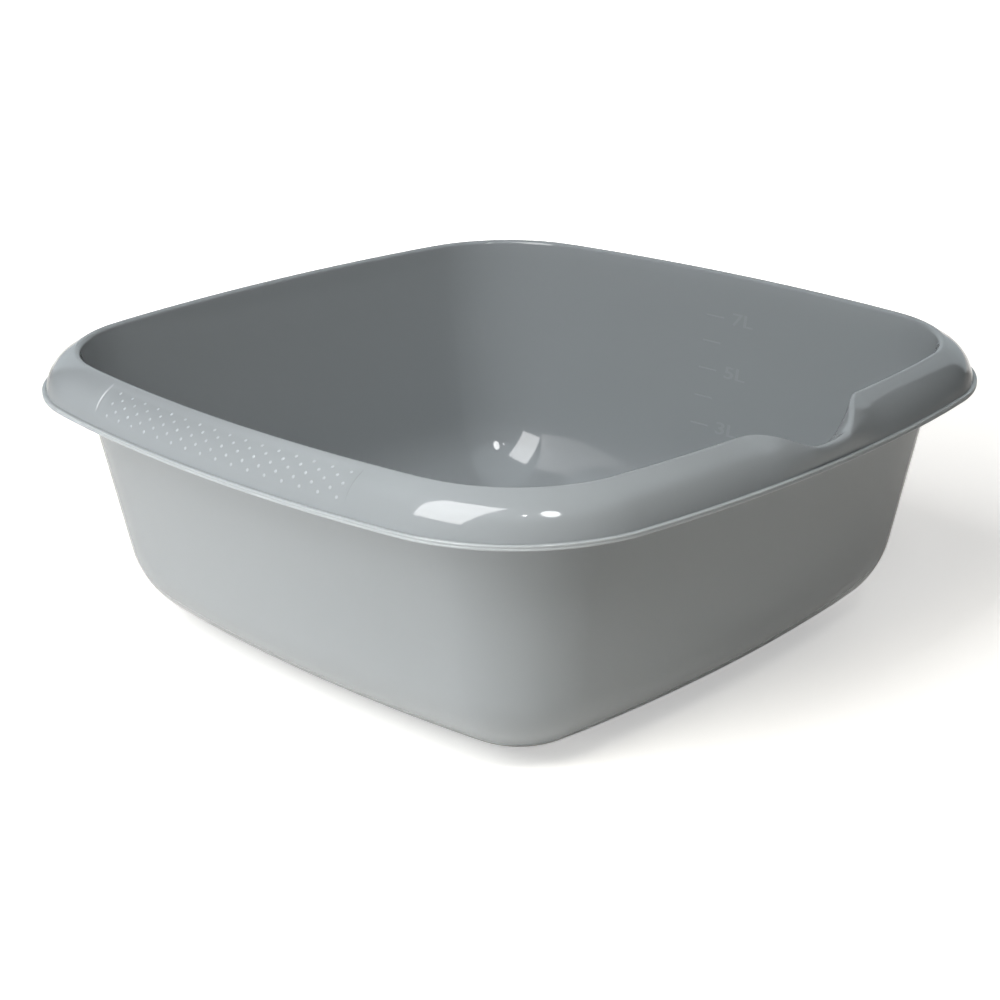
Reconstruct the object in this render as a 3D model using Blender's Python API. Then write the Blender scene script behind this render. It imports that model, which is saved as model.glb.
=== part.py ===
"""A square plastic washing-up basin: one thin-walled moulding, lofted ring by ring."""

import math

import bmesh
import bpy
from mathutils import Matrix, Vector

# Driving sizes of the mouth, in metres
HEIGHT = 0.1269
MOUTH_WIDTH = 0.3060
MOUTH_BOW = 0.0165
MOUTH_CORNER_RADIUS = 0.0578

# Driving sizes of the body below the mouth
WALL = 0.0018
WALL_TOP_OFFSET = 0.00035
FOOT_BOW = 0.0087
FOOT_CORNER_RADIUS = 0.0378
WALL_SPREAD = 0.0506
FLOOR_FILLET = 0.0461
FLOOR_CORNER_RADIUS = 0.0120

# Foot ring under the floor
RING_HEIGHT = 0.0008
RING_WIDTH = 0.0040
RING_INSET = 0.0060
RING_TAPER = 0.0004

# Rolled rim, from its crown down to the lip
RIM_WIDTH = 0.0155
LIP_BOW = 0.0213
LIP_CORNER_RADIUS = 0.0733
RIM_DROP = 0.0173
CROWN_RADIUS = 0.0020
CROWN_UNDERSIDE_RADIUS = 0.0002
CROWN_SLOPE = math.radians(27)
DOME_FULLNESS = 4.0
LIP_STEP = 0.0009
LIP_DEPTH = 0.0025
LIP_ROUNDING = 0.0004

# Pour notch in the middle of the +X side
NOTCH_WIDTH = 0.0714
NOTCH_DEPTH = 0.0086
NOTCH_REACH = 0.0120
NOTCH_START_DEPTH = 0.0350
NOTCH_CREST_SLOPE = math.radians(53)
NOTCH_FLOOR_SLOPE = math.radians(29.5)
NOTCH_DEPTH_SHARPNESS = 1.85
NOTCH_DEPTH_RUN_SHARE = 0.97
NOTCH_REACH_SHARPNESS = 1.2
NOTCH_REACH_RUN_SHARE = 0.68

# How far the scoop's curve keeps to the wall's slope, and back from its crest to the crest's
WALL_PULL_SHARE = 0.54
CREST_PULL_SHARE = 0.15

# Recessed grip panels in the middle of the rim's -Y and +Y sides, clear of the corners
GRIP_CLEARANCE = 0.0290
GRIP_RECESS = 0.0004
GRIP_END_RUN = 0.0012
GRIP_TOP_SHARE = 0.08
GRIP_BOTTOM_SHARE = 0.90
GRIP_FADE_SHARE = 0.15
GRIP_FADE_SHARPNESS = 1.6

# How finely the curves are divided
CORNER_STEPS = 9
PLAIN_SIDE_STEPS = 8
GRIP_STEPS = 8
NOTCH_STEPS = 20
FILLET_STEPS = 8
UPPER_WALL_STEPS = 5
CROWN_STEPS = 4
UNDERSIDE_CROWN_STEPS = 2
DOME_STEPS = 6

# Below 1, the dome's rows lie closer together towards its steep lower edge
DOME_ROW_CROWDING = 0.8

# Where a side ends and its corner starts, as the angle that the outline has turned
SIDE_END_TURN = math.radians(14)

# Plain sizes that follow from the driving sizes
MOUTH_HALF = MOUTH_WIDTH / 2
FOOT_WIDTH = MOUTH_WIDTH + 2 * WALL_TOP_OFFSET - WALL_SPREAD
CROWN_HEIGHT = HEIGHT - CROWN_RADIUS
LIP_HEIGHT = HEIGHT - RIM_DROP
GROOVE_OFFSET = RIM_WIDTH - LIP_STEP
GROOVE_HEIGHT = LIP_HEIGHT + LIP_DEPTH
WALL_SLOPE = WALL_SPREAD / 2 / (HEIGHT - RING_HEIGHT)
DRAFT = math.atan(WALL_SLOPE)
WALL_ACROSS = WALL / math.cos(DRAFT)
FILLET_CENTRE = FOOT_WIDTH / 2 - FLOOR_FILLET / math.tan((math.pi / 2 + DRAFT) / 2)
UNDERSIDE_RADIUS = max(CROWN_RADIUS - WALL, CROWN_UNDERSIDE_RADIUS)


def mix(start, end, share):
    """The value that lies a share of the way from start to end."""
    return start + (end - start) * share


def ease(share, sharpness):
    """A smooth S from 0 to 1, steeper in its middle as the sharpness grows."""
    share = min(max(share, 0.0), 1.0)
    rise = share ** sharpness
    fall = (1.0 - share) ** sharpness
    return rise / (rise + fall)


class Outline:
    """A square with bowed sides and round corners, as seen from above."""

    def __init__(self, half_width, bow, corner_radius):
        self.half_width = half_width
        self.radius = corner_radius
        self.side_radius = (half_width ** 2 + bow ** 2) / (2 * bow)
        self.side_centre = half_width - self.side_radius
        reach = self.side_radius - corner_radius
        inside = 2 * reach ** 2 - self.side_centre ** 2
        self.corner = (self.side_centre + math.sqrt(inside)) / 2
        self.side_end = self.corner + corner_radius * self.corner / reach

    def side_point(self, across):
        """The point of the +X side, or of its corner, that lies this far across."""
        if abs(across) <= self.side_end:
            out = self.side_centre + math.sqrt(self.side_radius ** 2 - across ** 2)
        else:
            past = abs(across) - self.corner
            out = self.corner + math.sqrt(self.radius ** 2 - past ** 2)
        return Vector((out, across))

    def turn_at(self, across):
        """The angle that the outline has turned at this distance across."""
        if across <= self.side_end:
            return math.asin(across / self.side_radius)
        return math.asin((across - self.corner) / self.radius)

    def corner_point(self, across, share):
        """A point of the corner, a share of the way from one side to the next."""
        start = self.turn_at(across)
        turn = mix(start, math.pi / 2 - start, share)
        return Vector((self.corner + self.radius * math.cos(turn),
                       self.corner + self.radius * math.sin(turn)))

    def side_reach(self):
        """How far across the side goes before the corner takes over."""
        return self.corner + self.radius * math.sin(SIDE_END_TURN)


MOUTH = Outline(MOUTH_HALF, MOUTH_BOW, MOUTH_CORNER_RADIUS)
GRIP_HALF = MOUTH.side_reach() - GRIP_CLEARANCE


def wall_line(height):
    """Half the width of the outer wall at this height, before the floor's fillet."""
    return FOOT_WIDTH / 2 + WALL_SLOPE * (height - RING_HEIGHT)


def ring_outline(offset, height):
    """The outline of the ring at this offset from the mouth and this height."""
    half_width = MOUTH_HALF + offset
    if offset > 0:
        share = offset / RIM_WIDTH
        bow = mix(MOUTH_BOW, LIP_BOW, share)
        radius = mix(MOUTH_CORNER_RADIUS, LIP_CORNER_RADIUS, share)
    else:
        share = (height - RING_HEIGHT) / (HEIGHT - RING_HEIGHT)
        bow = mix(FOOT_BOW, MOUTH_BOW, share)
        inset = wall_line(height) - half_width
        radius = mix(FOOT_CORNER_RADIUS, MOUTH_CORNER_RADIUS, share) - inset
    return Outline(half_width, bow, max(radius, FLOOR_CORNER_RADIUS))


def wall_offset(height, inset):
    """The offset from the mouth of the wall's surface that is inset this far."""
    return wall_line(height) - inset - MOUTH_HALF


def floor_fillet(radius):
    """Rows of the fillet from the floor's edge up to the wall, as offset and height."""
    rows = []
    for step in range(FILLET_STEPS + 1):
        angle = mix(-math.pi / 2, -DRAFT, step / FILLET_STEPS)
        across = FILLET_CENTRE + radius * math.cos(angle)
        height = RING_HEIGHT + FLOOR_FILLET + radius * math.sin(angle)
        rows.append((across - MOUTH_HALF, height))
    return rows


def notch_shares(across):
    """How much of the notch's depth and reach this station of its side has."""
    edge = 1.0 - abs(across) / (NOTCH_WIDTH / 2)
    depth = ease(edge / NOTCH_DEPTH_RUN_SHARE, NOTCH_DEPTH_SHARPNESS)
    reach = ease(edge / NOTCH_REACH_RUN_SHARE, NOTCH_REACH_SHARPNESS)
    return depth, reach


def crown(depth_share, reach_share):
    """Centre of the crown's round, and the slopes of the faces that leave it."""
    centre = Vector((NOTCH_REACH * reach_share, CROWN_HEIGHT - NOTCH_DEPTH * depth_share))
    inner_slope = mix(math.pi / 2 - DRAFT, NOTCH_FLOOR_SLOPE, depth_share)
    outer_slope = mix(CROWN_SLOPE, NOTCH_CREST_SLOPE, depth_share)
    return centre, inner_slope, outer_slope


def crown_arc(centre, radius, inner_slope, outer_slope, steps):
    """Points round the crown, from the inner face to the outer."""
    points = []
    for step in range(steps + 1):
        angle = mix(math.pi / 2 + inner_slope, math.pi / 2 - outer_slope, step / steps)
        points.append(centre + radius * Vector((math.cos(angle), math.sin(angle))))
    return points


def upper_wall(start, end, end_slope, steps):
    """Points of the face from the plain wall up to the crown, as a cubic curve."""
    span = (end - start).length
    along_wall = Vector((math.sin(DRAFT), math.cos(DRAFT)))
    along_crest = Vector((math.cos(end_slope), math.sin(end_slope)))
    first = start + span * WALL_PULL_SHARE * along_wall
    second = end - span * CREST_PULL_SHARE * along_crest
    points = []
    for step in range(steps):
        share = step / steps
        left = 1 - share
        points.append(left ** 3 * start + 3 * left ** 2 * share * first
                      + 3 * left * share ** 2 * second + share ** 3 * end)
    return points


def grip_dip(share):
    """The recess of the grip at this share of the dome, as a share of its depth."""
    top = ease((share - GRIP_TOP_SHARE) / GRIP_FADE_SHARE, GRIP_FADE_SHARPNESS)
    bottom = ease((GRIP_BOTTOM_SHARE - share) / GRIP_FADE_SHARE, GRIP_FADE_SHARPNESS)
    return top * bottom


def dome(start, slope, recess, depth_below):
    """Points of the rim's dome below the crown, or of the face behind it."""
    width = GROOVE_OFFSET - start.x
    drop = start.y - GROOVE_HEIGHT
    straight = math.tan(slope) * width / drop
    points = []
    for step in range(1, DOME_STEPS + 1):
        share = (step / DOME_STEPS) ** DOME_ROW_CROWDING
        fall = straight * share + (1 - straight) * share ** DOME_FULLNESS
        steep = straight + (1 - straight) * DOME_FULLNESS * share ** (DOME_FULLNESS - 1)
        normal = Vector((steep * drop, width)).normalized()
        surface = Vector((start.x + width * share, start.y - drop * fall))
        points.append(surface - normal * (depth_below + recess * grip_dip(share)))
    return points


def lip():
    """Points of the lip, from its step down round its lower edge to its inside."""
    inside = GROOVE_OFFSET - WALL
    return [
        Vector((RIM_WIDTH - LIP_ROUNDING, GROOVE_HEIGHT)),
        Vector((RIM_WIDTH, GROOVE_HEIGHT - LIP_ROUNDING)),
        Vector((RIM_WIDTH, LIP_HEIGHT + LIP_ROUNDING)),
        Vector((RIM_WIDTH - LIP_ROUNDING, LIP_HEIGHT)),
        Vector((inside, LIP_HEIGHT)),
    ]


def rim_section(depth_share, reach_share, recess):
    """Upper wall and rim, up the inside, over the crown and back up behind it."""
    centre, inner_slope, outer_slope = crown(depth_share, reach_share)
    start_height = HEIGHT - NOTCH_START_DEPTH
    arc = crown_arc(centre, CROWN_RADIUS, inner_slope, outer_slope, CROWN_STEPS)
    foot = Vector((wall_offset(start_height, WALL_ACROSS), start_height))
    points = upper_wall(foot, arc[0], inner_slope, UPPER_WALL_STEPS)
    points += arc
    points += dome(arc[-1], outer_slope, recess, 0)
    points += lip()
    behind = dome(arc[-1], outer_slope, recess, WALL)
    points += reversed(behind[1:])
    back = crown_arc(centre, UNDERSIDE_RADIUS, inner_slope, outer_slope, UNDERSIDE_CROWN_STEPS)
    points += reversed(back)
    foot = Vector((wall_offset(start_height, 0), start_height))
    points += reversed(upper_wall(foot, back[0], inner_slope, UPPER_WALL_STEPS - 1))
    return [tuple(point) for point in points]


def foot_ring():
    """Rows under the floor: its outer edge, then the foot ring round it."""
    edge = FILLET_CENTRE - MOUTH_HALF
    outside = edge - RING_INSET
    inside = outside - RING_WIDTH
    return [
        (outside, RING_HEIGHT),
        (outside - RING_TAPER, 0.0),
        (inside + RING_TAPER, 0.0),
        (inside, RING_HEIGHT),
    ]


def section(depth_share, reach_share, recess):
    """The whole section at one station, from the floor inside to the floor beneath."""
    rows = floor_fillet(FLOOR_FILLET - WALL)
    rows += rim_section(depth_share, reach_share, recess)
    rows += reversed(floor_fillet(FLOOR_FILLET))
    rows += foot_ring()
    return rows


def side_stations(side):
    """Distances across one side at which it has a station."""
    end = MOUTH.side_reach()
    stations = {-end, end}
    if side == 0:
        half = NOTCH_WIDTH / 2
        for step in range(NOTCH_STEPS + 1):
            stations.add(mix(-half, half, step / NOTCH_STEPS))
        for direction in (-1, 1):
            stations.add(direction * mix(half, end, 0.5))
    elif side == 2:
        for step in range(1, PLAIN_SIDE_STEPS):
            stations.add(mix(-end, end, step / PLAIN_SIDE_STEPS))
    else:
        inner = GRIP_HALF - GRIP_END_RUN / 2
        outer = GRIP_HALF + GRIP_END_RUN / 2
        for step in range(GRIP_STEPS + 1):
            stations.add(mix(-inner, inner, step / GRIP_STEPS))
        for direction in (-1, 1):
            stations.add(direction * outer)
            stations.add(direction * mix(outer, end, 0.5))
    return sorted(stations)


def station_section(side, across):
    """The section that the shape has at this station."""
    if side == 0 and abs(across) < NOTCH_WIDTH / 2:
        depth_share, reach_share = notch_shares(across)
        return section(depth_share, reach_share, 0)
    if side in (1, 3) and abs(across) < GRIP_HALF:
        return section(0, 0, GRIP_RECESS)
    return section(0, 0, 0)


def ring_points(row, plain, outline, sections):
    """The points of one ring, all the way round."""
    reach = MOUTH.side_reach()
    own_reach = reach if plain[row][0] > 0 else outline.side_reach()
    points = []
    for side in range(4):
        turn = Matrix.Rotation(side * math.pi / 2, 2)
        for across, shape in sections[side]:
            flat = outline.side_point(across * own_reach / reach)
            shift = shape[row][0] - plain[row][0]
            flat.x += shift
            points.append((*(turn @ flat), shape[row][1]))
        for step in range(1, CORNER_STEPS):
            flat = outline.corner_point(own_reach, step / CORNER_STEPS)
            points.append((*(turn @ flat), plain[row][1]))
    return points


def loft(rings):
    """A closed mesh through the rings, capped at its first and last ring."""
    mesh = bmesh.new()
    loops = [[mesh.verts.new(point) for point in ring] for ring in rings]
    for low, high in zip(loops, loops[1:]):
        for index, vertex in enumerate(low):
            previous = index - 1
            mesh.faces.new((low[previous], vertex, high[index], high[previous]))
    mesh.faces.new(reversed(loops[-1]))
    mesh.faces.new(loops[0])
    bmesh.ops.recalc_face_normals(mesh, faces=mesh.faces)
    return mesh


def grey_polypropylene():
    """Semi-gloss cool grey plastic."""
    material = bpy.data.materials.new("grey_polypropylene")
    material.use_nodes = True
    shader = material.node_tree.nodes["Principled BSDF"]
    shader.inputs["Base Color"].default_value = (0.24, 0.262, 0.272, 1.0)
    shader.inputs["Roughness"].default_value = 0.15
    shader.inputs["Metallic"].default_value = 0.0
    return material


def make_basin():
    """The whole basin as one moulding."""
    plain = section(0, 0, 0)
    sections = []
    for side in range(4):
        stations = side_stations(side)
        sections.append([(across, station_section(side, across)) for across in stations])
    rings = []
    for row, (offset, height) in enumerate(plain):
        rings.append(ring_points(row, plain, ring_outline(offset, height), sections))
    mesh = loft(rings)
    data = bpy.data.meshes.new("basin")
    mesh.to_mesh(data)
    mesh.free()
    data.shade_smooth()
    data.set_sharp_from_angle(angle=math.radians(40))
    data.materials.append(grey_polypropylene())
    basin = bpy.data.objects.new("basin", data)
    bpy.context.scene.collection.objects.link(basin)
    return basin


def clear_scene():
    """Start from an empty scene."""
    for item in list(bpy.data.objects):
        bpy.data.objects.remove(item, do_unlink=True)


clear_scene()
made = make_basin()
print("basin size", tuple(round(length, 4) for length in made.dimensions))
print("basin faces", len(made.data.polygons))
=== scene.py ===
"""Looks of the square washing-up basin: the fine shell, its grip pips and litre scale, and the studio."""

import math

import bmesh
import bpy
from bpy.props import FloatProperty, FloatVectorProperty, IntProperty, PointerProperty
from bpy.types import Operator, Panel, PropertyGroup
from mathutils import Matrix, Quaternion, Vector


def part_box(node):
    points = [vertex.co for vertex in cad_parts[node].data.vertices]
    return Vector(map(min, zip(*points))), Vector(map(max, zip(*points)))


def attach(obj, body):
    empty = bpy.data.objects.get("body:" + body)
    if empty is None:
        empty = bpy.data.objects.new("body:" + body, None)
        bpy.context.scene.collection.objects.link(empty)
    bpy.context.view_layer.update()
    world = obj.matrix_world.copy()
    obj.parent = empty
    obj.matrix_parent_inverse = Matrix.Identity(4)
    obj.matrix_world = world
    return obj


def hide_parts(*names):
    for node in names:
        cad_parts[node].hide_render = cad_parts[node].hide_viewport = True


bl_info = {
    "name": "Square washing-up basin",
    "version": (1, 0, 0),
    "blender": (4, 5, 0),
    "location": "View3D > Sidebar > Basin",
    "description": "Builds the visible pieces of a square plastic washing-up basin and its studio",
    "category": "Object",
}

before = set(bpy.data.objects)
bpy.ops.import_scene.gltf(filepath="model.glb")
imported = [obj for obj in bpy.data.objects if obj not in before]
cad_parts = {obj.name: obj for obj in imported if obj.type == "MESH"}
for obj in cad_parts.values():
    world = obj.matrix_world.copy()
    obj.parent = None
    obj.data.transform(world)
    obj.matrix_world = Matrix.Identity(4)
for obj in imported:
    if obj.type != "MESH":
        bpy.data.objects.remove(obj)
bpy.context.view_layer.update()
CAD_LOW, CAD_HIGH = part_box("basin")


def length(name, description, default):
    """A size in metres for the panel."""
    return FloatProperty(name=name, description=description, default=default,
                         unit="LENGTH", precision=5)


def number(name, description, default):
    """A share or another plain number for the panel."""
    return FloatProperty(name=name, description=description, default=default)


def count(name, description, default):
    """A whole number for the panel."""
    return IntProperty(name=name, description=description, default=default)


def angle(name, description, degrees):
    """An angle for the panel."""
    return FloatProperty(name=name, description=description, default=math.radians(degrees),
                         subtype="ANGLE")


def colour(name, description, default):
    """A colour for the panel."""
    return FloatVectorProperty(name=name, description=description, default=default,
                               subtype="COLOR", size=3, min=0.0, max=1.0)


class BasinSizes(PropertyGroup):
    """Sizes of the moulding."""

    height: length("Height", "From the worktop to the top of the rim", CAD_HIGH.z)
    mouth_width: length("Mouth width", "Inside the rim's crown, side to side", 0.3060)
    mouth_bow: length("Mouth bow", "How far a side of the mouth bows out", 0.0165)
    mouth_corner: length("Mouth corner", "Radius of the mouth's corners", 0.0578)
    wall: length("Wall", "Thickness of the plastic", 0.0018)
    foot_width: length("Foot width", "Outside the walls where they meet the worktop", 0.2561)
    foot_bow: length("Foot bow", "How far a side of the foot bows out", 0.0087)
    foot_corner: length("Foot corner", "Radius of the foot's corners", 0.0378)
    spread: length("Wall spread", "How much wider the walls are at the top", 0.0506)
    floor_fillet: length("Floor fillet", "Radius between floor and walls", 0.0461)
    floor_corner: length("Floor corner", "Smallest corner radius of the flat floor", 0.0120)
    ring_height: length("Foot ring height", "How far the foot ring stands down", 0.0008)
    ring_width: length("Foot ring width", "Across the foot ring", 0.0040)
    ring_inset: length("Foot ring inset", "From the floor's edge in to the foot ring", 0.0060)
    ring_taper: length("Foot ring taper", "How far the ring's sides lean in", 0.0004)
    lip_width: length("Lip width", "Outside the lip, side to side", CAD_HIGH.x - CAD_LOW.x)
    lip_bow: length("Lip bow", "How far a side of the lip bows out", 0.0213)
    lip_corner: length("Lip corner", "Radius of the lip's corners", 0.0733)
    rim_drop: length("Rim drop", "From the crown down to the lip's edge", 0.0176)
    crown_radius: length("Crown radius", "Round along the top of the rim", 0.0020)
    crown_underside: length("Crown underside", "Round inside the crown", 0.0002)
    crown_slope: angle("Crown slope", "Slope of the dome where it leaves the crown", 27)
    dome_fullness: number("Dome fullness", "How far out the dome stays high", 4.0)
    dome_tuck: length("Dome tuck", "How far the dome's foot turns in above the lip", 0.0005)
    lip_step: length("Lip step", "How far the lip stands out from the dome", 0.0009)
    lip_depth: length("Lip depth", "Height of the upright lip", 0.0022)
    lip_rounding: length("Lip rounding", "Round of the bead along the lip's upper edge", 0.0005)
    bead_radius: length("Bead radius", "Round of the bead along the lip's lower edge", 0.0006)
    bead_reach: length("Bead reach", "How far the two beads stand out from the lip", 0.0002)


class NotchSizes(PropertyGroup):
    """Sizes of the pour notch."""

    width: length("Width", "Along the rim, end to end", 0.0714)
    depth: length("Depth", "How far its crest dips", 0.0086)
    reach: length("Reach", "How far its crest moves out", 0.0120)
    start: length("Start", "How far below the crown the scoop starts", 0.0350)
    crest_slope: angle("Crest slope", "Slope of the dome below its crest", 53)
    floor_slope: angle("Scoop slope", "Slope of the scoop at its crest", 29.5)
    depth_run: number("Depth run", "Share of half its width that the depth takes", 0.97)
    depth_sharpness: number("Depth sharpness", "How quickly the dip's flanks turn", 1.85)
    reach_run: number("Reach run", "Share of half its width that the reach takes", 0.68)
    reach_sharpness: number("Reach sharpness", "How quickly the reach's flanks turn", 1.2)
    wall_pull: number("Wall pull", "How far up the scoop keeps to the wall's slope", 0.54)
    crest_pull: number("Crest pull", "How far back the scoop keeps to its crest's slope", 0.15)


class GripSizes(PropertyGroup):
    """Sizes of the two recessed grips and of their pips."""

    length: length("Length", "Along the rim", 0.1483)
    recess: length("Recess", "How deep the panel lies", 0.0004)
    end_run: length("End run", "Across the step at each end", 0.0009)
    top: number("Top", "Share of the dome where the recess starts", 0.08)
    bottom: number("Bottom", "Share of the dome where the recess ends", 0.90)
    fade: number("Fade", "Share of the dome over which the recess fades in", 0.15)
    sharpness: number("Sharpness", "How quickly the recess's edges turn", 1.6)
    pip_rows: count("Pip rows", "Rows of pips down the dome", 5)
    pip_count: count("Pips in a row", "Every other row has one less", 16)
    pip_top: number("First row", "Share of the dome where the first row lies", 0.28)
    pip_row_gap: length("Row gap", "From row to row down the dome", 0.00275)
    pip_pitch: length("Pip pitch", "From pip to pip along a row", 0.00904)
    pip_shift: length("Pip shift", "How far the rows lie towards the notch", 0.00225)
    pip_width: length("Pip width", "Across one pip", 0.0015)
    pip_height: length("Pip height", "How far a pip stands up", 0.00022)


class ScaleSizes(PropertyGroup):
    """Sizes of the litre scale on the inside of the back wall, and of the gate mark."""

    heights: FloatVectorProperty(name="Mark heights", description="Height of each litre's mark",
                                 size=5, default=(0.0541, 0.0675, 0.0808, 0.0939, 0.1060),
                                 unit="LENGTH", precision=5)
    first_litre: count("First litre", "What the lowest mark states", 3)
    mark_start: length("Mark start", "Left end of the marks, from the middle", -0.0095)
    mark_length: length("Mark length", "Along one mark", 0.0106)
    mark_width: length("Mark width", "Across one mark", 0.0010)
    figure_start: length("Figure start", "Left end of the figures, from the middle", 0.0060)
    figure_length: length("Figure length", "Along a figure and its letter", 0.0126)
    figure_height: length("Figure height", "Height of the figures", 0.0058)
    figure_drop: length("Figure drop", "From a mark down to its figure's foot", 0.0024)
    relief: length("Relief", "How far the scale stands off the wall", 0.00012)
    sunk: length("Sunk", "How far its back lies in the wall", 0.0003)
    gate_width: length("Gate width", "Across the gate mark under the floor", 0.0040)
    gate_taper: number("Gate taper", "Share of its width that the gate's end keeps", 0.8)
    gate_height: length("Gate height", "How far the gate mark stands down", 0.0004)
    gate_ring: length("Gate ring", "Across the ring round the gate mark", 0.0150)


class PlasticLooks(PropertyGroup):
    """Colour and gloss of the plastic."""

    tone: colour("Plastic", "Cool grey of the moulding", (0.237, 0.258, 0.273))
    dull: colour("Dull plastic", "The grey in the darker clouds", (0.227, 0.248, 0.263))
    # The lip grey is a painted highlight: the lip band is made paler to stand in for the light its two
    # beads catch, not for rubbing by hands.
    lip: colour("Lip", "Paler plastic where hands rub the lip", (0.330, 0.358, 0.372))
    worn: colour("Worn plastic", "The grey where the foot has been rubbed", (0.33, 0.345, 0.35))
    roughness: number("Roughness", "0 is a mirror, 1 is chalk", 0.06)
    unevenness: number("Unevenness", "How far patches of skin differ in roughness", 0.01)
    gloss: number("Gloss level", "How strongly the skin mirrors, 0.5 for plain plastic", 0.67)
    cloud_scale: number("Clouds", "Clouds of tone in a metre", 9.0)
    skin_scale: number("Skin", "Patches of gloss in a metre", 60.0)
    scuff_scale: number("Scuffs", "Scuffs in a metre", 22.0)
    scuff_dulling: number("Scuff dulling", "Roughness that a scuff adds", 0.10)
    scratch_scale: number("Scratches", "Rubbed spots in a metre", 420.0)
    worn_height: length("Worn height", "How far up the foot is rubbed", 0.0030)
    worn_dulling: number("Worn dulling", "Roughness that the rubbing adds", 0.35)
    ripple_scale: number("Ripples", "Ripples of the skin in a metre", 70.0)
    ripple: length("Ripple", "How deep the skin's ripples are", 0.00002)
    # The paler pips are a painted highlight: they stand in for the light their small domes catch, not for
    # rubbing.
    pip_paler: number("Pips paler", "How much paler the pips are", 1.35)
    mark_paler: number("Marks paler", "How much paler the litre scale is", 1.10)


class StageLooks(PropertyGroup):
    """Floor, surroundings and camera."""

    floor: colour("Floor", "Pale sweep under the basin", (0.93, 0.92, 0.89))
    floor_roughness: number("Floor roughness", "0 is a mirror, 1 is chalk", 0.9)
    floor_half: length("Floor half", "From the floor's middle to its edge", 6.0)
    floor_glow: number("Floor glow", "White that the lens sees added near the basin", 0.45)
    glow_start: length("Glow start", "From the basin's middle to where more white is added", 0.3)
    glow_full: length("Glow full", "From the basin's middle to where the floor is plain white", 0.9)
    ambient: number("Ambient", "Light of the room from every side", 0.09)
    bounced: colour("Bounced", "Warm tint of the dim light from all round", (1.0, 0.93, 0.84))
    mirrored: colour("Mirrored", "Cool tint of the white in reflections", (0.86, 0.96, 1.0))
    board_azimuth: angle("Board azimuth", "Where behind the basin the white board stands", 220)
    board_reach: angle("Board reach", "How far to the left and right the white board goes", 42)
    board_fade: angle("Board fade", "Over which angle its edges fade out", 5)
    board_white: number("Board white", "How white the board is in reflections", 0.7)
    ceiling_start: angle("Ceiling start", "How high the white ceiling starts in reflections", 34)
    ceiling_full: angle("Ceiling full", "How high the ceiling is plain white in reflections", 54)
    board_start: length("Board start", "How far out the floor starts to mirror like the board", 0.2)
    board_full: length("Board full", "How far out the floor mirrors as white as the board", 0.6)
    floor_mirrored: number("Floor mirrored", "White that a gloss sees in the rest of the floor", 0.08)
    frame_width: number("Frame width", "Width of the camera's frame, in mm", 36.0)
    lens: number("Lens", "Focal length on that frame, in mm", 71.346)
    nearest: length("Nearest", "From the lens to the nearest thing that it shows", 0.01)
    distance: length("Camera distance", "From the basin's middle to the lens", 0.86778)
    azimuth: angle("Camera azimuth", "From the front round towards the notch", 43.77543)
    elevation: angle("Camera elevation", "Above the worktop", 20.12605)
    pan: angle("Camera pan", "Turn of the lens to the right", -0.3212)
    tilt: angle("Camera tilt", "Turn of the lens up", -0.45752)
    roll: angle("Camera roll", "Turn about the lens", -0.3845)
    aim_height: length("Aim height", "Height that the camera circles round", 0.0608)


# Sides of the basin, anticlockwise from +X
NOTCH_SIDE = 0
BACK_SIDE = 1
PLAIN_SIDE = 2
FRONT_SIDE = 3

# Steps of the shell along its sides and round its corners, and how far a side's steps go into a corner
CORNER_STEPS = 26
PLAIN_STEPS = 24
GRIP_STEPS = 24
GRIP_END_STEPS = 5
NOTCH_STEPS = 72
SIDE_END_STEPS = 4
SIDE_END_TURN = math.radians(14)

# Steps of the shell up its section, how the dome's rows close up below and where its foot turns in
FILLET_STEPS = 18
WALL_STEPS = 8
UPPER_WALL_STEPS = 12
CROWN_STEPS = 10
DOME_STEPS = 24
DOME_SPACING = 0.75
TUCK_START = 0.75
BEAD_STEPS = 8

# Facets of the small raised shapes, and how much of their size their rounded edges take
PIP_SIDES = 8
PIP_BANDS = 6
GATE_SIDES = 32
GATE_RING_SIDES = 8
GATE_RING_STEPS = 64
EDGE_STEPS = 2
BAR_EDGE = 1 / 5
GATE_EDGE = 1 / 3

# Figures at the font's own size, before they are scaled to fit
FIGURE_DEPTH = 0.1
FIGURE_BOLDNESS = 0.012
FIGURE_CURVE_STEPS = 3

SHARP_ANGLE = math.radians(40)
TOLERANCE = 0.0001
QUARTER_TURN = math.pi / 2
LAMP_AIM = Vector((0, 0, 0.06))
WHITE = (1.0, 1.0, 1.0, 1.0)


def mix(start, end, part):
    """The value that lies a share of the way from start to end."""
    return start + (end - start) * part


def evenly(start, end, steps):
    """Values from start to end with equal steps between them."""
    return [mix(start, end, step / steps) for step in range(steps + 1)]


def ease(part, sharpness):
    """A smooth S from 0 to 1, steeper in its middle as the sharpness grows."""
    part = min(max(part, 0.0), 1.0)
    rise = part ** sharpness
    fall = (1.0 - part) ** sharpness
    return rise / (rise + fall)


def arc(centre, radius, start, end, steps):
    """Points round a centre from one angle to another."""
    return [Vector((centre[0] + radius * math.cos(turn), centre[1] + radius * math.sin(turn)))
            for turn in evenly(start, end, steps)]


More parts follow.
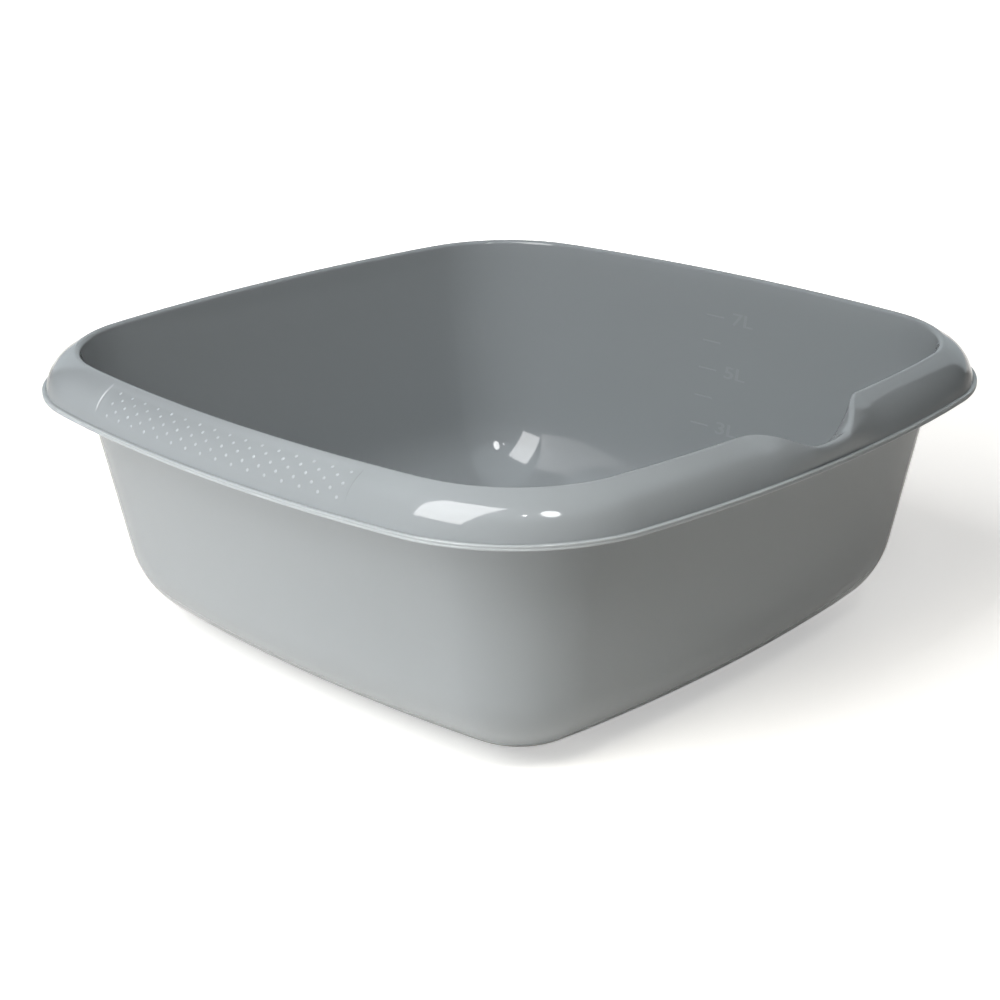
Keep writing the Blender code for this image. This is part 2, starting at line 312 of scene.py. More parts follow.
class Outline:
    """A square with bowed sides and round corners, as seen from above."""

    def __init__(self, half_width, bow, corner_radius):
        self.radius = corner_radius
        self.side_radius = (half_width ** 2 + bow ** 2) / (2 * bow)
        self.side_centre = half_width - self.side_radius
        reach = self.side_radius - corner_radius
        inside = 2 * reach ** 2 - self.side_centre ** 2
        self.corner = (self.side_centre + math.sqrt(inside)) / 2
        self.side_end = self.corner + corner_radius * self.corner / reach

    def side_point(self, across):
        """The point of the +X side, or of its corner, that lies this far across."""
        if abs(across) <= self.side_end:
            out = self.side_centre + math.sqrt(self.side_radius ** 2 - across ** 2)
        else:
            past = abs(across) - self.corner
            out = self.corner + math.sqrt(self.radius ** 2 - past ** 2)
        return Vector((out, across))

    def turn_at(self, across):
        """The angle that the outline has turned at this distance across."""
        if abs(across) <= self.side_end:
            return math.asin(across / self.side_radius)
        past = abs(across) - self.corner
        return math.copysign(math.asin(past / self.radius), across)

    def corner_arc(self, across):
        """Points between this distance across and the same place on the next side."""
        start = self.turn_at(across)
        centre = (self.corner, self.corner)
        return arc(centre, self.radius, start, QUARTER_TURN - start, CORNER_STEPS)[1:-1]

    def side_reach(self):
        """How far across the side goes before the corner takes over."""
        return self.corner + self.radius * math.sin(SIDE_END_TURN)


class Shape:
    """Every curve of the basin, worked out from the sizes in the panel."""

    def __init__(self, basin, notch, grip, scale):
        self.basin = basin
        self.notch = notch
        self.grip = grip
        self.scale = scale
        self.mouth_half = basin.mouth_width / 2
        self.lip_offset = (basin.lip_width - basin.mouth_width) / 2
        self.crown_height = basin.height - basin.crown_radius
        self.lip_height = basin.height - basin.rim_drop
        self.groove_offset = self.lip_offset - basin.lip_step
        self.groove_height = self.lip_height + basin.lip_depth
        self.wall_slope = basin.spread / 2 / (basin.height - basin.ring_height)
        self.draft = math.atan(self.wall_slope)
        self.wall_across = basin.wall / math.cos(self.draft)
        half_turn = (QUARTER_TURN + self.draft) / 2
        self.fillet_centre = basin.foot_width / 2 - basin.floor_fillet / math.tan(half_turn)
        self.reach = Outline(self.mouth_half, basin.mouth_bow, basin.mouth_corner).side_reach()
        self.plain = self.section(0, 0, 0)

    def wall_line(self, height):
        """Half the width of the outer wall at this height, before the floor's fillet."""
        return self.basin.foot_width / 2 + self.wall_slope * (height - self.basin.ring_height)

    def ring_outline(self, offset, height):
        """The outline of the ring at this offset from the mouth and this height."""
        basin = self.basin
        half_width = self.mouth_half + offset
        if offset > 0:
            part = offset / self.lip_offset
            bow = mix(basin.mouth_bow, basin.lip_bow, part)
            radius = mix(basin.mouth_corner, basin.lip_corner, part)
        else:
            part = (height - basin.ring_height) / (basin.height - basin.ring_height)
            bow = mix(basin.foot_bow, basin.mouth_bow, part)
            inset = self.wall_line(height) - half_width
            radius = mix(basin.foot_corner, basin.mouth_corner, part) - inset
        return Outline(half_width, bow, max(radius, basin.floor_corner))

    def wall_point(self, height, inset):
        """The point of the section on the wall's surface that is inset this far."""
        return Vector((self.wall_line(height) - inset - self.mouth_half, height))

    def floor_rows(self, radius):
        """Rows of the fillet from the floor's edge up to the wall."""
        centre = (self.fillet_centre - self.mouth_half, self.basin.ring_height + self.basin.floor_fillet)
        return arc(centre, radius, -QUARTER_TURN, -self.draft, FILLET_STEPS)

    def wall_rows(self, fillet_top, inset):
        """Rows of the plain wall between the floor's fillet and the upper wall."""
        heights = evenly(fillet_top.y, self.basin.height - self.notch.start, WALL_STEPS)
        return [self.wall_point(height, inset) for height in heights[1:-1]]

    def upper_wall(self, inset, end, end_slope):
        """Points of the face from the plain wall up to the crown, as a cubic curve."""
        start = self.wall_point(self.basin.height - self.notch.start, inset)
        reach = (end - start).length
        along_wall = Vector((math.sin(self.draft), math.cos(self.draft)))
        along_crown = Vector((math.cos(end_slope), math.sin(end_slope)))
        first = start + reach * self.notch.wall_pull * along_wall
        second = end - reach * self.notch.crest_pull * along_crown
        points = []
        for part in evenly(0, 1, UPPER_WALL_STEPS)[:-1]:
            left = 1 - part
            points.append(left ** 3 * start + 3 * left ** 2 * part * first
                          + 3 * left * part ** 2 * second + part ** 3 * end)
        return points

    def crown(self, radius, depth=0, reach=0):
        """Points round the crown, and the slopes of the faces that leave it inside and outside."""
        centre = (self.notch.reach * reach, self.crown_height - self.notch.depth * depth)
        inner = mix(QUARTER_TURN - self.draft, self.notch.floor_slope, depth)
        outer = mix(self.basin.crown_slope, self.notch.crest_slope, depth)
        return arc(centre, radius, QUARTER_TURN + inner, QUARTER_TURN - outer, CROWN_STEPS), inner, outer

    def grip_dip(self, part):
        """The recess of the grip at this share of the dome, as a share of its depth."""
        grip = self.grip
        upper = ease((part - grip.top) / grip.fade, grip.sharpness)
        return upper * ease((grip.bottom - part) / grip.fade, grip.sharpness)

    def dome_point(self, start, slope, part):
        """A point of the dome at this share of its width, and its normal."""
        fullness = self.basin.dome_fullness
        width = self.groove_offset - start.x
        drop = start.y - self.groove_height
        straight = math.tan(slope) * width / drop
        fall = straight * part + (1 - straight) * part ** fullness
        steep = straight + (1 - straight) * fullness * part ** (fullness - 1)
        turned = max(0.0, (part - TUCK_START) / (1 - TUCK_START))
        across = width * part - self.basin.dome_tuck * turned ** 2
        advance = width - 2 * self.basin.dome_tuck * turned / (1 - TUCK_START)
        normal = Vector((steep * drop, advance)).normalized()
        return Vector((start.x + across, start.y - drop * fall)), normal

    def dome(self, start, slope, recess, below):
        """Points of the rim's dome below the crown, or of the face behind it."""
        points = []
        for even in evenly(0, 1, DOME_STEPS)[1:]:
            part = even ** DOME_SPACING
            surface, normal = self.dome_point(start, slope, part)
            points.append(surface - normal * (below + recess * self.grip_dip(part)))
        return points

    def bead(self, radius, height, start, end):
        """Points round one of the lip's beads."""
        centre = (self.lip_offset + self.basin.bead_reach - radius, height)
        return arc(centre, radius, start, end, BEAD_STEPS)

    def lip(self):
        """Points of the lip, from its step down round its two beads to its inside."""
        basin = self.basin
        upper = basin.lip_rounding
        lower = basin.bead_radius
        upper_end = -math.acos(1 - basin.bead_reach / upper)
        lower_start = math.acos(1 - basin.bead_reach / lower)
        return [
            *self.bead(upper, self.groove_height - upper, QUARTER_TURN, upper_end),
            *self.bead(lower, self.lip_height + lower, lower_start, -QUARTER_TURN),
            Vector((self.groove_offset - basin.wall, self.lip_height)),
        ]

    def rim_section(self, depth, reach, recess):
        """Upper wall and rim, up the inside, over the crown and back up behind it."""
        basin = self.basin
        front, inner, outer = self.crown(basin.crown_radius, depth, reach)
        back_radius = max(basin.crown_radius - basin.wall, basin.crown_underside)
        back, _, _ = self.crown(back_radius, depth, reach)
        return [
            *self.upper_wall(self.wall_across, front[0], inner),
            *front,
            *self.dome(front[-1], outer, recess, 0),
            *self.lip(),
            *reversed(self.dome(front[-1], outer, recess, basin.wall)[1:]),
            *reversed(back),
            *reversed(self.upper_wall(0, back[0], inner)),
        ]

    def foot_ring(self):
        """Rows under the floor: its outer edge, then the foot ring round it."""
        basin = self.basin
        outside = self.fillet_centre - self.mouth_half - basin.ring_inset
        inside = outside - basin.ring_width
        return [
            Vector((outside, basin.ring_height)),
            Vector((outside - basin.ring_taper, 0.0)),
            Vector((inside + basin.ring_taper, 0.0)),
            Vector((inside, basin.ring_height)),
        ]

    def section(self, depth, reach, recess):
        """The whole section at one station, from the floor inside to the floor beneath."""
        inside = self.floor_rows(self.basin.floor_fillet - self.basin.wall)
        outside = self.floor_rows(self.basin.floor_fillet)
        return [
            *inside,
            *self.wall_rows(inside[-1], self.wall_across),
            *self.rim_section(depth, reach, recess),
            *reversed(self.wall_rows(outside[-1], 0)),
            *reversed(outside),
            *self.foot_ring(),
        ]

    def notch_shares(self, across):
        """How much of the notch's depth and reach this station of its side has."""
        edge = 1.0 - abs(across) / (self.notch.width / 2)
        depth = ease(edge / self.notch.depth_run, self.notch.depth_sharpness)
        reach = ease(edge / self.notch.reach_run, self.notch.reach_sharpness)
        return depth, reach

    def recess(self, across):
        """How deep the grip is at this station of its side."""
        past = (abs(across) - self.grip.length / 2) / self.grip.end_run
        return self.grip.recess * (1 - ease(past + 0.5, self.grip.sharpness))

    def side_stations(self, side):
        """Distances across one side at which it has a station."""
        end = self.reach
        if side == PLAIN_SIDE:
            return evenly(-end, end, PLAIN_STEPS)
        if side == NOTCH_SIDE:
            half = self.notch.width / 2
            middle = evenly(-half, half, NOTCH_STEPS)
            right = [half]
        else:
            half = (self.grip.length - self.grip.end_run) / 2
            middle = evenly(-half, half, GRIP_STEPS)
            right = evenly(half, half + self.grip.end_run, GRIP_END_STEPS)
        right += evenly(right[-1], end, SIDE_END_STEPS)[1:]
        return [-across for across in reversed(right[1:])] + middle + right[1:]

    def station_section(self, side, across):
        """The section that the shell has at this station."""
        if side == NOTCH_SIDE and abs(across) < self.notch.width / 2:
            depth, reach = self.notch_shares(across)
            return self.section(depth, reach, 0)
        if side in (BACK_SIDE, FRONT_SIDE) and self.recess(across) > 0:
            return self.section(0, 0, self.recess(across))
        return self.plain

    def ring_points(self, row, sections):
        """The points of one ring, all the way round."""
        offset, height = self.plain[row]
        outline = self.ring_outline(offset, height)
        own_reach = self.reach if offset > 0 else outline.side_reach()
        points = []
        for side in range(4):
            turn = Matrix.Rotation(side * QUARTER_TURN, 2)
            for across, rows in sections[side]:
                flat = outline.side_point(across * own_reach / self.reach)
                flat.x += rows[row].x - offset
                points.append((*(turn @ flat), rows[row].y))
            for flat in outline.corner_arc(own_reach):
                points.append((*(turn @ flat), height))
        return points

    def rings(self):
        """Every ring of the shell, from the floor inside to the floor beneath."""
        sections = []
        for side in range(4):
            stations = self.side_stations(side)
            sections.append([(across, self.station_section(side, across)) for across in stations])
        return [self.ring_points(row, sections) for row in range(len(self.plain))]

    def plain_dome(self, part):
        """A point of the dome where there is no notch, and its normal."""
        points, _, slope = self.crown(self.basin.crown_radius)
        return self.dome_point(points[-1], slope, part)

    def next_part(self, part, gap):
        """The share of the dome that lies this gap further down its curve."""
        here = self.plain_dome(part)[0]
        low = part
        high = 1.0
        while high - low > TOLERANCE:
            middle = (low + high) / 2
            if (self.plain_dome(middle)[0] - here).length < gap:
                low = middle
            else:
                high = middle
        return low

    def grip_place(self, side, across, part):
        """A place on a grip's panel: its point, and its along and out directions."""
        surface, normal = self.plain_dome(part)
        surface -= normal * self.recess(across) * self.grip_dip(part)
        outline = self.ring_outline(surface.x, surface.y)
        turn = Matrix.Rotation(side * QUARTER_TURN, 3, "Z")
        point = turn @ Vector((*outline.side_point(across), surface.y))
        lean = turn @ Matrix.Rotation(outline.turn_at(across), 3, "Z")
        return point, lean @ Vector((0, 1, 0)), lean @ Vector((normal.x, 0, normal.y))

    def wall_place(self, side, across, height, lift):
        """A point that stands this far off the inner face of a wall."""
        outline = self.ring_outline(*self.wall_point(height, self.wall_across))
        inward = Vector((-math.cos(self.draft), 0, math.sin(self.draft)))
        normal = Matrix.Rotation(outline.turn_at(across), 3, "Z") @ inward
        point = Vector((*outline.side_point(across), height)) + lift * normal
        return Matrix.Rotation(side * QUARTER_TURN, 3, "Z") @ point


def basin_shape(context):
    """The shape that the panel's sizes give."""
    scene = context.scene
    return Shape(scene.basin_sizes, scene.notch_sizes, scene.grip_sizes, scene.scale_sizes)


class Nodes:
    """The nodes of a material or of the world, and short ways to add more."""

    def __init__(self, owner):
        owner.use_nodes = True
        self.tree = owner.node_tree

    def fill(self, node, inputs):
        """Give a node's sockets these values, or link them to these outputs of other nodes."""
        for socket, value in inputs.items():
            if isinstance(value, bpy.types.NodeSocket):
                self.tree.links.new(value, node.inputs[socket])
            else:
                node.inputs[socket].default_value = value

    def finish(self, name, inputs):
        """Fill the node of this name that was there from the start."""
        self.fill(self.tree.nodes[name], inputs)

    def add(self, kind, inputs=None, **settings):
        """The outputs of a new node."""
        node = self.tree.nodes.new(f"ShaderNode{kind}")
        for name, value in settings.items():
            setattr(node, name, value)
        self.fill(node, inputs or {})
        return node.outputs

    def maths(self, operation, *values):
        """A sum, a product or the like."""
        return self.add("Math", dict(enumerate(values)), operation=operation)["Value"]

    def vector(self, operation, *values):
        """The outputs of a sum of vectors or the like."""
        return self.add("VectorMath", dict(enumerate(values)), operation=operation)

    def noise(self, place, scale, detail):
        """Soft patches that vary from place to place."""
        return self.add("TexNoise", {"Vector": place, "Scale": scale, "Detail": detail})["Fac"]

    def ramp(self, value, start, end, low=0.0, high=1.0):
        """A smooth change from low to high while the value goes from start to end."""
        inputs = {"Value": value, "From Min": start, "From Max": end, "To Min": low, "To Max": high}
        return self.add("MapRange", inputs, interpolation_type="SMOOTHSTEP")["Result"]

    def blend(self, share, first, second):
        """The first colour, and this share of the second over it."""
        return self.add("Mix", {"Factor": share, "A": first, "B": second}, data_type="RGBA")["Result"]

    def rays(self):
        """Whether a ray comes from the lens, straight or through glass, and whether from a gloss."""
        path = self.add("LightPath")
        seen = self.maths("MAXIMUM", path["Is Camera Ray"], path["Is Transmission Ray"])
        return seen, path["Is Glossy Ray"]


def opaque(tone, paler=1.0):
    """A colour with its alpha, made paler by this factor."""
    return (*(paler * part for part in tone), 1.0)


def grey_plastic(context, name="grey plastic", paler=1.0):
    """Glossy cool grey polypropylene: faint clouds, an uneven skin, scuffs, a worn foot and a paler lip
    band that is painted highlight.
    """
    looks = context.scene.plastic_looks
    found = bpy.data.materials.get(name)
    if found:
        return found
    material = bpy.data.materials.new(name)
    nodes = Nodes(material)
    place = nodes.add("TexCoord")["Object"]
    height = nodes.add("SeparateXYZ", {"Vector": place})["Z"]
    foot = nodes.ramp(height, 0.0, looks.worn_height, 1.0, 0.0)
    scratches = nodes.noise(place, looks.scratch_scale, detail=6.0)
    scratched = nodes.ramp(scratches, start=0.52, end=0.66)
    worn = nodes.maths("MULTIPLY", foot, scratched)
    clouds = nodes.noise(place, looks.cloud_scale, detail=3.0)
    tones = nodes.blend(clouds, opaque(looks.dull, paler), opaque(looks.tone, paler))
    # Painted highlight: the band flagged by the lip attribute is blended to the paler lip grey, in place
    # of the light its beads catch; rubbed here holds that painted highlight, not wear.
    on_lip = nodes.add("Attribute", attribute_name="lip")["Fac"]
    rubbed = nodes.blend(on_lip, tones, opaque(looks.lip, paler))
    patches = nodes.noise(place, looks.skin_scale, detail=4.0)
    smooth = looks.roughness - looks.unevenness
    rough = looks.roughness + looks.unevenness
    skin = nodes.ramp(patches, start=0.3, end=0.7, low=smooth, high=rough)
    scuffs = nodes.noise(place, looks.scuff_scale, detail=8.0)
    dulling = nodes.ramp(scuffs, start=0.60, end=0.78, high=looks.scuff_dulling)
    dulled = nodes.maths("ADD", skin, dulling)
    ripples = nodes.noise(place, looks.ripple_scale, detail=2.0)
    bump = nodes.add("Bump", {"Height": ripples, "Strength": 1.0, "Distance": looks.ripple})
    nodes.finish("Principled BSDF", {
        "Base Color": nodes.blend(worn, rubbed, opaque(looks.worn, paler)),
        "Roughness": nodes.maths("MULTIPLY_ADD", worn, looks.worn_dulling, dulled),
        "Specular IOR Level": looks.gloss,
        "Normal": bump["Normal"],
    })
    return material


def mesh_object(name, mesh, material):
    """An object at the origin with this mesh and material."""
    data = bpy.data.meshes.new(name)
    mesh.to_mesh(data)
    mesh.free()
    data.materials.append(material)
    made = bpy.data.objects.new(name, data)
    bpy.context.scene.collection.objects.link(made)
    return made


def piece(name, mesh, material):
    """A finished piece from its mesh: smooth, in its place and riding on the moulding."""
    made = mesh_object(name, mesh, material)
    made.data.shade_smooth()
    made.data.set_sharp_from_angle(angle=SHARP_ANGLE)
    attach(made, "root")
    return made


def shell_mesh(shape):
    """The shell: one ring of vertices, extruded row by row and capped at both ends."""
    rings = shape.rings()
    mesh = bmesh.new()
    station = mesh.verts.layers.int.new("station")
    lip = mesh.verts.layers.float.new("lip")
    bmesh.ops.create_circle(mesh, segments=len(rings[0]), radius=1.0)
    for index, vertex in enumerate(list(mesh.verts)):
        vertex[station] = index
        vertex.co = rings[0][index]
    first_edges = list(mesh.edges)
    edges = first_edges
    for row, points in enumerate(rings[1:], 1):
        made = bmesh.ops.extrude_edge_only(mesh, edges=edges)["geom"]
        ends = {item for item in made if isinstance(item, bmesh.types.BMVert)}
        # The lip flag marks the band that the plastic paints paler, a painted highlight.
        on_lip = float(shape.plain[row].x > shape.groove_offset)
        for vertex in ends:
            vertex.co = points[vertex[station]]
            vertex[lip] = on_lip
        edges = [item for item in made
                 if isinstance(item, bmesh.types.BMEdge) and ends.issuperset(item.verts)]
    for rim in (first_edges, edges):
        bmesh.ops.edgeloop_fill(mesh, edges=rim)
    bmesh.ops.recalc_face_normals(mesh, faces=mesh.faces)
    return mesh


class BASIN_OT_shell(Operator):
    """Build the moulding: floor, walls, rolled rim, pour notch and grips"""

    bl_idname = "basin.shell"
    bl_label = "Moulded shell"

    def execute(self, context):
        shell = piece("shell", shell_mesh(basin_shape(context)), grey_plastic(context))
        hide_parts("basin")
        return {"FINISHED"}


def grip_pips(shape, side):
    """The pips of one grip as flat domes, in staggered rows."""
    grip = shape.grip
    towards_notch = 1 if side == FRONT_SIDE else -1
    size = Matrix.Diagonal((grip.pip_width / 2, grip.pip_width / 2, grip.pip_height, 1))
    mesh = bmesh.new()
    part = grip.pip_top
    for row in range(grip.pip_rows):
        pips = grip.pip_count - row % 2
        for index in range(pips):
            place = (index - (pips - 1) / 2) * grip.pip_pitch + grip.pip_shift
            point, along, out = shape.grip_place(side, towards_notch * place, part)
            turn = Matrix((along, out.cross(along), out)).transposed().to_4x4()
            bmesh.ops.create_uvsphere(mesh, u_segments=PIP_SIDES, v_segments=PIP_BANDS, radius=1.0,
                                      matrix=Matrix.Translation(point) @ turn @ size)
        part = shape.next_part(part, grip.pip_row_gap)
    bmesh.ops.recalc_face_normals(mesh, faces=mesh.faces)
    return mesh


class BASIN_OT_pips(Operator):
    """Build the rows of small pips on the two grips"""

    bl_idname = "basin.pips"
    bl_label = "Grip pips"

    def execute(self, context):
        shape = basin_shape(context)
        # The pips are painted paler, a painted highlight in place of the light that their tops catch.
        plastic = grey_plastic(context, "pips with painted highlight", context.scene.plastic_looks.pip_paler)
        for name, side in (("grip_pips_front", FRONT_SIDE), ("grip_pips_back", BACK_SIDE)):
            piece(name, grip_pips(shape, side), plastic)
        return {"FINISHED"}


def figure_mesh(context, text, width, height, thickness):
    """Raised figures as a closed mesh that fills this width and height from its corner."""
    curve = bpy.data.curves.new(text, "FONT")
    curve.body = text
    curve.extrude = FIGURE_DEPTH
    curve.offset = FIGURE_BOLDNESS
    curve.resolution_u = FIGURE_CURVE_STEPS
    made = bpy.data.objects.new(text, curve)
    context.scene.collection.objects.link(made)
    context.view_layer.update()
    flat = bpy.data.meshes.new_from_object(made.evaluated_get(context.evaluated_depsgraph_get()))
    bpy.data.objects.remove(made)
    bpy.data.curves.remove(curve)
    mesh = bmesh.new()
    mesh.from_mesh(flat)
    bpy.data.meshes.remove(flat)
    bmesh.ops.remove_doubles(mesh, verts=mesh.verts, dist=TOLERANCE)
    low = [min(vertex.co[axis] for vertex in mesh.verts) for axis in range(3)]
    high = [max(vertex.co[axis] for vertex in mesh.verts) for axis in range(3)]
    sizes = (width, height, thickness)
    scale = [size / (end - start) for size, start, end in zip(sizes, low, high)]
    move = Matrix.Translation([-value for value in low])
    bmesh.ops.transform(mesh, verts=mesh.verts, matrix=Matrix.Diagonal((*scale, 1)) @ move)
    return mesh


def bar_mesh(width, height, thickness):
    """A plain bar of this width and height from its corner, with its edges eased."""
    mesh = bmesh.new()
    bmesh.ops.create_cube(mesh, size=1.0, matrix=Matrix.Translation((0.5, 0.5, 0.5)))
    bmesh.ops.transform(mesh, verts=mesh.verts, matrix=Matrix.Diagonal((width, height, thickness, 1)))
    bmesh.ops.bevel(mesh, geom=mesh.edges[:], offset=height * BAR_EDGE, affect="EDGES",
                    segments=EDGE_STEPS, profile=0.5, material=-1)
    return mesh


def stand_on_wall(mesh, shape, start, foot):
    """Wrap a flat raised mesh on the inside of the back wall, its back sunk in the plastic."""
    for vertex in mesh.verts:
        across = -(start + vertex.co.x)
        lift = vertex.co.z - shape.scale.sunk
        vertex.co = shape.wall_place(BACK_SIDE, across, foot + vertex.co.y, lift)


def litre_scale(context, shape):
    """The five marks of the scale, with a figure beside every other one."""
    scale = shape.scale
    thickness = scale.relief + scale.sunk
    whole = bmesh.new()
    for index, height in enumerate(scale.heights):
        bar = bar_mesh(scale.mark_length, scale.mark_width, thickness)
        parts = [(bar, scale.mark_start, height - scale.mark_width / 2)]
        if index % 2 == 0:
            text = f"{scale.first_litre + index}L"
            figure = figure_mesh(context, text, scale.figure_length, scale.figure_height, thickness)
            parts.append((figure, scale.figure_start, height - scale.figure_drop))
        for mesh, start, foot in parts:
            stand_on_wall(mesh, shape, start, foot)
            data = bpy.data.meshes.new("part of the scale")
            mesh.to_mesh(data)
            mesh.free()
            whole.from_mesh(data)
            bpy.data.meshes.remove(data)
    bmesh.ops.recalc_face_normals(whole, faces=whole.faces)
    return whole


class BASIN_OT_litre_scale(Operator):
    """Build the raised litre scale on the inside of the back wall"""

    bl_idname = "basin.litre_scale"
    bl_label = "Litre scale"

    def execute(self, context):
        plastic = grey_plastic(context, "raised marks", context.scene.plastic_looks.mark_paler)
        piece("litre_scale", litre_scale(context, basin_shape(context)), plastic)
        return {"FINISHED"}


def edges_of(verts):
    """Every edge that touches these vertices."""
    return list({edge for vertex in verts for edge in vertex.link_edges})


def gate_mark(shape):
    """The cut-off gate under the middle of the floor, inside a fine raised ring."""
    scale = shape.scale
    floor = shape.basin.ring_height
    depth = scale.gate_height + scale.sunk
    wide = scale.gate_width / 2
    mesh = bmesh.new()
    made = bmesh.ops.create_cone(mesh, cap_ends=True, segments=GATE_SIDES, depth=depth,
                                 radius1=wide * scale.gate_taper, radius2=wide,
                                 matrix=Matrix.Translation((0, 0, floor + scale.sunk - depth / 2)))
    bmesh.ops.bevel(mesh, geom=edges_of(made["verts"]), offset=scale.gate_height * GATE_EDGE,
                    affect="EDGES", segments=EDGE_STEPS, profile=0.5, material=-1)
    place = Matrix.Translation((scale.gate_ring / 2, 0, floor)) @ Matrix.Rotation(QUARTER_TURN, 4, "X")
    made = bmesh.ops.create_circle(mesh, segments=GATE_RING_SIDES, radius=scale.gate_height / 2,
                                   matrix=place)
    bmesh.ops.spin(mesh, geom=made["verts"] + edges_of(made["verts"]), axis=(0, 0, 1), cent=(0, 0, 0),
                   angle=2 * math.pi, steps=GATE_RING_STEPS, use_merge=True)
    bmesh.ops.recalc_face_normals(mesh, faces=mesh.faces)
    return mesh


class BASIN_OT_gate_mark(Operator):
    """Build the gate mark under the floor"""

    bl_idname = "basin.gate_mark"
    bl_label = "Gate mark"

    def execute(self, context):
        piece("gate_mark", gate_mark(basin_shape(context)), grey_plastic(context))
        return {"FINISHED"}


def direction(azimuth, elevation):
    """The way out to this azimuth, from the front towards +X, and elevation."""
    level = math.cos(elevation)
    return Vector((math.sin(azimuth) * level, -math.cos(azimuth) * level, math.sin(elevation)))


def soft_lamp(name, azimuth, elevation, distance, width, height, watts, roll=0, turn=0, spread=180,
              tint=(1.0, 1.0, 1.0), shape="RECTANGLE", lights=True, mirrored=True):
    """A soft box out in this direction that faces the basin, with its angles in degrees."""
    data = bpy.data.lights.new(name, "AREA")
    data.shape = shape
    data.size = width
    data.size_y = height
    data.energy = watts
    data.spread = math.radians(spread)
    data.color = tint
    lamp = bpy.data.objects.new(name, data)
    bpy.context.scene.collection.objects.link(lamp)
    out = direction(math.radians(azimuth), math.radians(elevation))
    facing = out.to_track_quat("Z", "Y") @ Quaternion((0, 0, 1), math.radians(roll))
    lamp.location = LAMP_AIM + distance * out
    lamp.rotation_euler = (Quaternion((0, 0, 1), math.radians(turn)) @ facing).to_euler()
    lamp.visible_camera = False
    lamp.visible_diffuse = lights
    lamp.visible_glossy = mirrored


def soft_lamps():
    """A big key, whose window-shaped mirror image is a lamp of its own, and smaller lamps and fills."""
    big = {"azimuth": -1, "elevation": 47.6, "distance": 1.19, "width": 0.62, "height": 0.93, "roll": -8}
    low = {"elevation": 1.5, "distance": 1.1, "width": 0.8, "height": 0.14, "mirrored": False}
    soft_lamp("key", **big, watts=3.2, turn=12, spread=80, mirrored=False)
    soft_lamp("window", **big, watts=11.5, turn=9, lights=False)
    soft_lamp("oval", azimuth=64, elevation=49, distance=1.12, width=0.16, height=0.26, watts=1.3,
              shape="ELLIPSE")
    soft_lamp("spark", azimuth=47.8, elevation=48.5, distance=1.17, width=0.03, height=0.03, watts=0.12)
    soft_lamp("backdrop", azimuth=224, elevation=30, distance=3.0, width=3.6, height=2.2, watts=10,
              mirrored=False)
    soft_lamp("side", azimuth=46, elevation=42, distance=0.46, width=0.1, height=0.1, watts=0.52,
              tint=(1.0, 0.96, 0.89), mirrored=False)
    soft_lamp("front fill", **low, azimuth=-12, watts=7.8, tint=(1.0, 0.985, 0.965))
    soft_lamp("back fill", **low, azimuth=222, watts=5)


def studio_camera(context):
    """The camera at the photograph's place."""
    looks = context.scene.stage_looks
    data = bpy.data.cameras.new("studio camera")
    data.sensor_width = looks.frame_width
    data.lens = looks.lens
    data.clip_start = looks.nearest
    camera = bpy.data.objects.new("studio camera", data)
    context.scene.collection.objects.link(camera)
    back = direction(looks.azimuth, looks.elevation)
    facing = (back.to_track_quat("Z", "Y") @ Quaternion((0, 1, 0), -looks.pan)
              @ Quaternion((1, 0, 0), looks.tilt) @ Quaternion((0, 0, 1), looks.roll))
    place = back * looks.distance + Vector((0, 0, looks.aim_height))
    camera.matrix_world = Matrix.LocRotScale(place, facing, None)
    context.scene.camera = camera


def board_share(nodes, way, looks):
    """How white the board behind the basin is in this direction out from it."""
    level = nodes.vector("MULTIPLY", way, (1.0, 1.0, 0.0))["Vector"]
    out = nodes.vector("NORMALIZE", level)["Vector"]
    facing = nodes.vector("DOT_PRODUCT", out, direction(looks.board_azimuth, 0))["Value"]
    edge = math.cos(looks.board_reach)
    plain = math.cos(looks.board_reach - looks.board_fade)
    return nodes.ramp(facing, edge, plain, high=looks.board_white)


def pale_floor(context):
    """A pale floor that shows white to the lens and still takes the basin's shadow."""
    looks = context.scene.stage_looks
    material = bpy.data.materials.new("pale sweep")
    nodes = Nodes(material)
    place = nodes.add("TexCoord")["Object"]
    away = nodes.vector("LENGTH", place)["Value"]
    white = nodes.ramp(away, looks.glow_start, looks.glow_full, low=looks.floor_glow)
    far = nodes.ramp(away, looks.board_start, looks.board_full)
    board = nodes.maths("MULTIPLY", far, board_share(nodes, place, looks))
    seen, glossy = nodes.rays()
    mirrored = nodes.maths("MULTIPLY", glossy, nodes.maths("MAXIMUM", board, looks.floor_mirrored))
    nodes.finish("Principled BSDF", {
        "Base Color": opaque(looks.floor),
        "Roughness": looks.floor_roughness,
        "Specular IOR Level": 0.0,
        "Emission Color": WHITE,
        "Emission Strength": nodes.maths("MULTIPLY_ADD", seen, white, mirrored),
    })
    mesh = bmesh.new()
    bmesh.ops.create_grid(mesh, x_segments=1, y_segments=1, size=looks.floor_half)
    floor = mesh_object("floor", mesh, material)


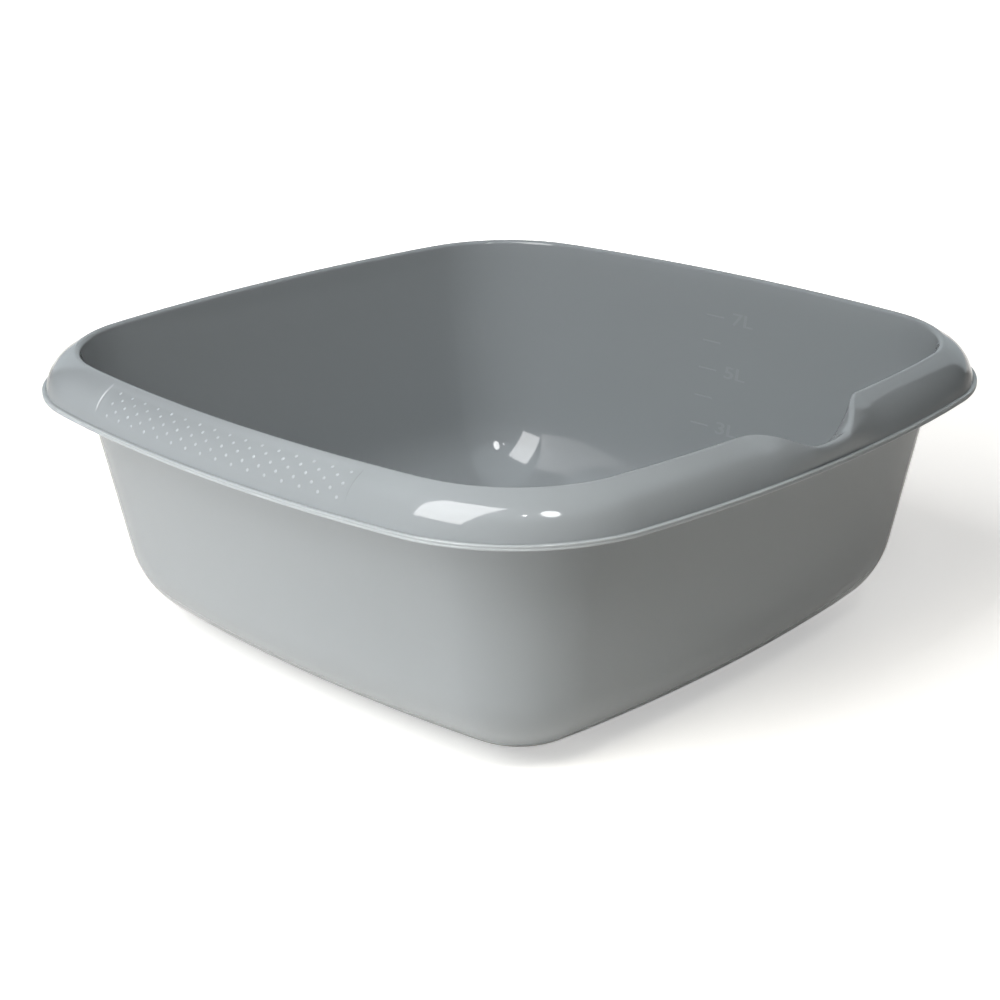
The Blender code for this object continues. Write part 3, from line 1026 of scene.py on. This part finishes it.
def white_surroundings(context):
    """A world that is white to the lens, a white board behind in reflections, and else dim."""
    looks = context.scene.stage_looks
    world = bpy.data.worlds.new("studio")
    context.scene.world = world
    nodes = Nodes(world)
    way = nodes.add("TexCoord")["Generated"]
    upward = nodes.add("SeparateXYZ", {"Vector": way})["Z"]
    ceiling = nodes.ramp(upward, math.sin(looks.ceiling_start), math.sin(looks.ceiling_full))
    pale = nodes.maths("MAXIMUM", board_share(nodes, way, looks), ceiling)
    seen, glossy = nodes.rays()
    white = nodes.maths("MAXIMUM", seen, nodes.maths("MULTIPLY", glossy, pale))
    lit = nodes.blend(seen, opaque(looks.bounced), WHITE)
    nodes.finish("Background", {
        "Color": nodes.blend(glossy, lit, opaque(looks.mirrored)),
        "Strength": nodes.maths("MULTIPLY_ADD", white, 1.0 - looks.ambient, looks.ambient),
    })


class BASIN_OT_stage(Operator):
    """Build the pale floor, the white surroundings, the lamps and the camera"""

    bl_idname = "basin.stage"
    bl_label = "Studio"

    def execute(self, context):
        context.scene.view_settings.view_transform = "Standard"
        pale_floor(context)
        white_surroundings(context)
        soft_lamps()
        studio_camera(context)
        return {"FINISHED"}


class BASIN_PT_panel(Panel):
    """Sizes, looks and pieces of the basin"""

    bl_label = "Washing-up basin"
    bl_idname = "BASIN_PT_panel"
    bl_space_type = "VIEW_3D"
    bl_region_type = "UI"
    bl_category = "Basin"

    def draw(self, context):
        layout = self.layout
        for operator in OPERATORS:
            layout.operator(operator.bl_idname)
        for group, _ in GROUPS:
            settings = getattr(context.scene, group)
            box = layout.box()
            for name in settings.__annotations__:
                box.prop(settings, name)


OPERATORS = (BASIN_OT_shell, BASIN_OT_pips, BASIN_OT_litre_scale, BASIN_OT_gate_mark, BASIN_OT_stage)
GROUPS = (
    ("basin_sizes", BasinSizes),
    ("notch_sizes", NotchSizes),
    ("grip_sizes", GripSizes),
    ("scale_sizes", ScaleSizes),
    ("plastic_looks", PlasticLooks),
    ("stage_looks", StageLooks),
)


def register():
    """Make the settings, the operators and the panel known to Blender."""
    for name, group in GROUPS:
        bpy.utils.register_class(group)
        setattr(bpy.types.Scene, name, PointerProperty(type=group))
    for item in OPERATORS:
        bpy.utils.register_class(item)
    bpy.utils.register_class(BASIN_PT_panel)


def unregister():
    """Take them out again."""
    bpy.utils.unregister_class(BASIN_PT_panel)
    for item in reversed(OPERATORS):
        bpy.utils.unregister_class(item)
    for name, group in reversed(GROUPS):
        delattr(bpy.types.Scene, name)
        bpy.utils.unregister_class(group)


def main():
    """Build every piece and the studio."""
    register()
    bpy.ops.basin.shell()
    bpy.ops.basin.pips()
    bpy.ops.basin.litre_scale()
    bpy.ops.basin.gate_mark()
    bpy.ops.basin.stage()


if __name__ == "__main__":
    main()
